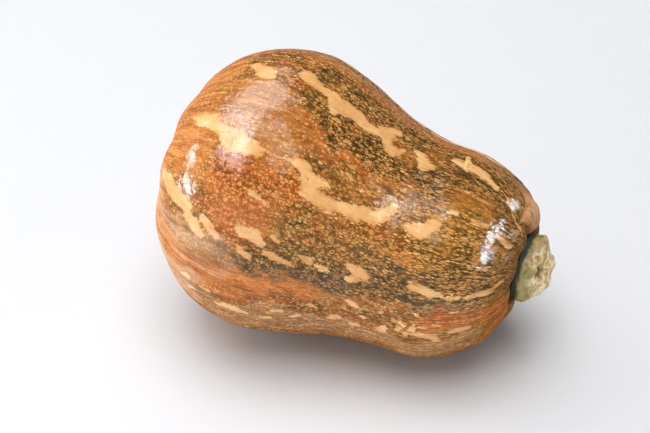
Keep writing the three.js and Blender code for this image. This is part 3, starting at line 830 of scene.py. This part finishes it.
class Nodes(dict):
    """The nodes of a material or world, and its Values by name."""

    def __init__(self, owner):
        super().__init__()
        owner.use_nodes = True
        self.owner = owner

    def __missing__(self, name):
        """The Value of this name, made from the tables, or else read from the mesh."""
        if name in NOISES:
            on, share, *look = NOISES[name]
            made = self.noise(self.shrunk(self[on], share), *look)
        elif name in SUMS:
            first, *others = (self.share(*row) for row in SUMS[name])
            made = sum(others, first)
        elif name in PRODUCTS:
            first, *others = (self.share(*row) for row in PRODUCTS[name])
            made = math.prod(others, start=first)
        elif name in RAMPS:
            made = self.ramp(*RAMPS[name])
        elif name in MIXES:
            made = self.mixed(*MIXES[name])
        else:
            made = self.stored(name)
        self[name] = made
        return made

    def share(self, name, *how):
        """The Value of this name as a share, as SUMS and PRODUCTS say."""
        if not how:
            return self[name]
        if how[0] == "swing":
            return (self[name] - 0.5) * how[1]
        return self[name] * how[0] if len(how) == 1 else self[name].rise(*how)

    def tone(self, name):
        """A colour by its name: one of COLOURS, or else one that is mixed."""
        return (*map(linear, COLOURS[name]), 1.0) if name in COLOURS else self[name]

    def mixed(self, lowest, *coats):
        colour = self.tone(lowest)
        for coat, *share in coats:
            colour = self.blend(colour, self.tone(coat), self.share(*share))
        return colour

    def ramp(self, name, *stops):
        node = self.add("ValToRGB", self[name])
        while len(node.color_ramp.elements) < len(stops):
            node.color_ramp.elements.new(0.5)
        for element, (position, colour) in zip(node.color_ramp.elements, stops):
            element.position = position
            element.color = self.tone(colour)
        return Value(self, node.outputs["Color"])

    def feed(self, socket, value):
        if isinstance(value, Value):
            self.owner.node_tree.links.new(value.socket, socket)
        elif value is not None:
            socket.default_value = value

    def add(self, kind, *values, **settings):
        """A shader node with these settings, and these values on its first inputs."""
        node = self.owner.node_tree.nodes.new("ShaderNode" + kind)
        for key, value in settings.items():
            setattr(node, key, value)
        for socket, value in zip(node.inputs, values):
            self.feed(socket, value)
        return node

    def make(self, kind, *values, output=0, **settings):
        """The Value that a new node gives."""
        return Value(self, self.add(kind, *values, **settings).outputs[output])

    def stored(self, name, output="Fac"):
        return self.make("Attribute", attribute_name=name, output=output)

    def maths(self, operation, *values):
        return self.make("Math", *values, operation=operation)

    def vectors(self, operation, *values, output=0):
        return self.make("VectorMath", *values, operation=operation, output=output)

    def shrunk(self, vector, share):
        """The vector with only this share of its part along the skin or stem."""
        return self.vectors("MULTIPLY", vector, (share, 1, 1))

    def nudged(self, vector, size, reach):
        """The vector, moved about by up to about reach by noise of this size."""
        cloud = self.make("TexNoise", vector, None, 1 / size, output="Color")
        off = self.vectors("MULTIPLY", self.vectors("SUBTRACT", cloud, (0.5,) * 3), (2 * reach,) * 3)
        return self.vectors("ADD", vector, off)

    def noise(self, vector, size, detail=2.0, roughness=0.5):
        return self.make("TexNoise", vector, None, 1 / size, detail, roughness, output="Fac")

    def cells(self, size):
        """Distance from the middle of the nearest cell, and three random numbers of that cell."""
        cell = self.add("TexVoronoi", self["place"], None, 1 / size).outputs
        split = self.add("SeparateColor", Value(self, cell["Color"])).outputs
        return [Value(self, socket) for socket in (cell["Distance"], *split)]

    def blend(self, first, second, share, mode="MIX"):
        """From the first colour to the second, by share."""
        node = self.add("Mix", share, data_type="RGBA", blend_type=mode, clamp_factor=True)
        colours = [socket for socket in node.inputs if socket.type == "RGBA"]
        self.feed(colours[0], first)
        self.feed(colours[1], second)
        return Value(self, next(socket for socket in node.outputs if socket.type == "RGBA"))

    def bump(self, height, size, under=None):
        node = self.add("Bump")
        for name, value in zip(("Strength", "Distance", "Height", "Normal"), (*size, height, under)):
            self.feed(node.inputs[name], value)
        return Value(self, node.outputs["Normal"])

    def finish(self, node_name="Principled BSDF", **inputs):
        """The material or world, once the node that shows it has these inputs."""
        node = self.owner.node_tree.nodes[node_name]
        sockets = {socket.name.lower().replace(" ", "_"): socket for socket in node.inputs}
        for name, value in inputs.items():
            self.feed(sockets[name], value)
        return self.owner


def add_spots(skin):
    """Round spots of many sizes with the net between them, and a few larger flecks."""
    off, skin["cell"], skin["tint"], skin["other_tint"] = skin.cells(SPOT_SIZE)
    line = skin.make("TexVoronoi", skin["place"], None, 1 / SPOT_SIZE,
                     feature="DISTANCE_TO_EDGE", output="Distance")
    spot = (skin["spot_reach"] - off).rise(*SPOT_EDGE) * (line + skin["mottle"] * NET_SWAY).rise(*NET_EDGE)
    dot_off, dot_size, *_ = skin.cells(DOT_SIZE)
    skin["spot"] = skin.maths("MAXIMUM", spot, (dot_size.rise(*DOT_REACH) - dot_off).rise(*DOT_EDGE))
    fleck_off, fleck_size, *_ = skin.cells(FLECK_SIZE)
    skin["flecks"] = (fleck_size.rise(*FLECK_REACH) - fleck_off).rise(*FLECK_EDGE)


def skin_material():
    """Orange skin with a net of dark green and brown round small spots, under tan blotches and a thin wax,
    and with painted light and shade in places.
    """
    skin = Nodes(bpy.data.materials.new("squash_skin"))
    skin["growth"] = skin.stored("growth", "Vector")
    skin["place"] = skin.nudged(skin.nudged(skin["growth"], *FINE_NUDGE), *WIDE_NUDGE)
    skin["filled_place"] = skin.nudged(skin.shrunk(skin["growth"], FILLED_SHRINK), *FILLED_NUDGE)
    add_spots(skin)
    skin["not_green"] = 1.0 - skin["greenness"] * GREEN_KEEPS_NET
    skin["not_dull"] = 1.0 - skin["dull"]
    skin["depth"] = skin["blotch"] + skin["blotch_edge"] + (skin["spot"] * SPOT_WIDENS + WIDENED)
    skin["shaded"] = skin.blend(skin["netted"], skin["shade"], 1.0, "MULTIPLY")
    skin["tan"] = skin.blend(skin["blotch_tones"], skin["patched"], TAN_SHOWS_SKIN)
    pits = skin.bump(skin["pitted"], PIT_BUMP)  # small pits and dents break up the gloss
    dents = skin.bump(skin["dented"], DENT_BUMP, pits)
    return skin.finish(base_color=skin["whole_skin"], roughness=skin["roughness"], normal=pits,
                       coat_weight=skin["wax"], coat_normal=dents, **SKIN_GLOSS)


def stem_material():
    """Corky stem: near black at the foot, its dark green with painted shade where it stands in the seat,
    mossy green on its sides, and creamy with brown pith on the cut.
    """
    stem = Nodes(bpy.data.materials.new("cut_stem"))
    stem["place"] = stem.stored("place", "Vector")
    stem["lump_place"] = stem.nudged(stem["place"], *LUMP_NUDGE)
    stem["crumb_place"] = stem.nudged(stem.stored("spokes", "Vector"), *CRUMB_NUDGE)
    stem["sideways"] = stem.make("SeparateXYZ", stem["place"], output="Y")
    stem["upwards"] = stem.make("SeparateXYZ", stem["place"], output="Z")
    return stem.finish(base_color=stem["whole_stem"], roughness=stem["stem_roughness"],
                       normal=stem.bump(stem["fine"], STEM_BUMP), **STEM_GLOSS)


def floor_material():
    floor = Nodes(bpy.data.materials.new("pale_floor"))
    clouds = floor.noise(floor.make("TexCoord", output="Object"), FLOOR_CLOUDS)
    dimmer = (FLOOR_DIMMER * part for part in FLOOR_COLOUR)
    tone = floor.blend((*FLOOR_COLOUR, 1.0), (*dimmer, 1.0), clouds)
    return floor.finish(base_color=tone, roughness=FLOOR_ROUGHNESS)


# ---- The stage ----

def direction(azimuth, elevation):
    """A unit vector towards this azimuth, from the front round to the stem end, and elevation."""
    a, e = math.radians(azimuth), math.radians(elevation)
    return Vector((math.sin(a) * math.cos(e), -math.cos(a) * math.cos(e), math.sin(e)))


def make_floor():
    mesh = bpy.data.meshes.new("floor")
    h = FLOOR_HALF
    mesh.from_pydata([(-h, -h, 0), (h, -h, 0), (h, h, 0), (-h, h, 0)], [], [(0, 1, 2, 3)])
    mesh.materials.append(floor_material())
    floor = put_in_scene("floor", mesh)


def make_lights():
    for name, (azimuth, elevation, distance, size, power, colour) in {**LIGHTS, **PANES}.items():
        lamp = bpy.data.lights.new(name, "AREA")
        lamp.shape = "RECTANGLE"
        lamp.size, lamp.size_y = size
        lamp.energy = power
        lamp.color = colour
        light = put_in_scene(name, lamp)
        towards = direction(azimuth, elevation)
        light.location = CAMERA_TARGET + towards * distance
        light.rotation_euler = towards.to_track_quat("Z", "Y").to_euler()
        light.visible_diffuse = name in LIGHTS
        light.visible_glossy = name not in DIFFUSE_ONLY


def make_surroundings():
    """A pale room, bright at the sides, most of all at the left in front, and dimmer overhead."""
    room = Nodes(bpy.data.worlds.new("studio"))
    towards = room.make("TexCoord", output="Generated")
    height = room.make("SeparateXYZ", towards, output="Z")
    side = room.vectors("DOT_PRODUCT", towards, SKY_BRIGHT_SIDE, output="Value")
    brightness = height.rise(*SKY_BY_HEIGHT) * side.rise(*SKY_BY_SIDE)
    bpy.context.scene.world = room.finish("Background", color=SKY_COLOUR, strength=brightness)


def make_camera():
    back = direction(CAMERA_AZIMUTH, CAMERA_ELEVATION)
    level = Vector((0, 0, 1)).cross(back).normalized()
    upright = back.cross(level)
    cosine, sine = math.cos(CAMERA_ROLL), math.sin(CAMERA_ROLL)
    right = level * cosine + upright * sine
    up = upright * cosine - level * sine
    lens = bpy.data.cameras.new("camera")
    lens.lens = CAMERA_LENS
    lens.sensor_width = SENSOR_WIDTH
    lens.sensor_fit = "HORIZONTAL"
    camera = put_in_scene("camera", lens)
    turn = Matrix((right, up, back)).transposed().to_4x4()
    camera.matrix_world = Matrix.Translation(CAMERA_TARGET + back * CAMERA_DISTANCE) @ turn
    bpy.context.scene.camera = camera


def dress(piece, material, node):
    piece.data.materials.append(material)
    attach(piece, BODY)
    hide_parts(node)


fruit, place_shift = make_fruit()
dress(fruit, skin_material(), "fruit")
dress(make_stem(place_shift), stem_material(), "stem")
make_floor()
make_lights()
make_surroundings()
make_camera()
bpy.context.scene.view_settings.view_transform = "Standard"
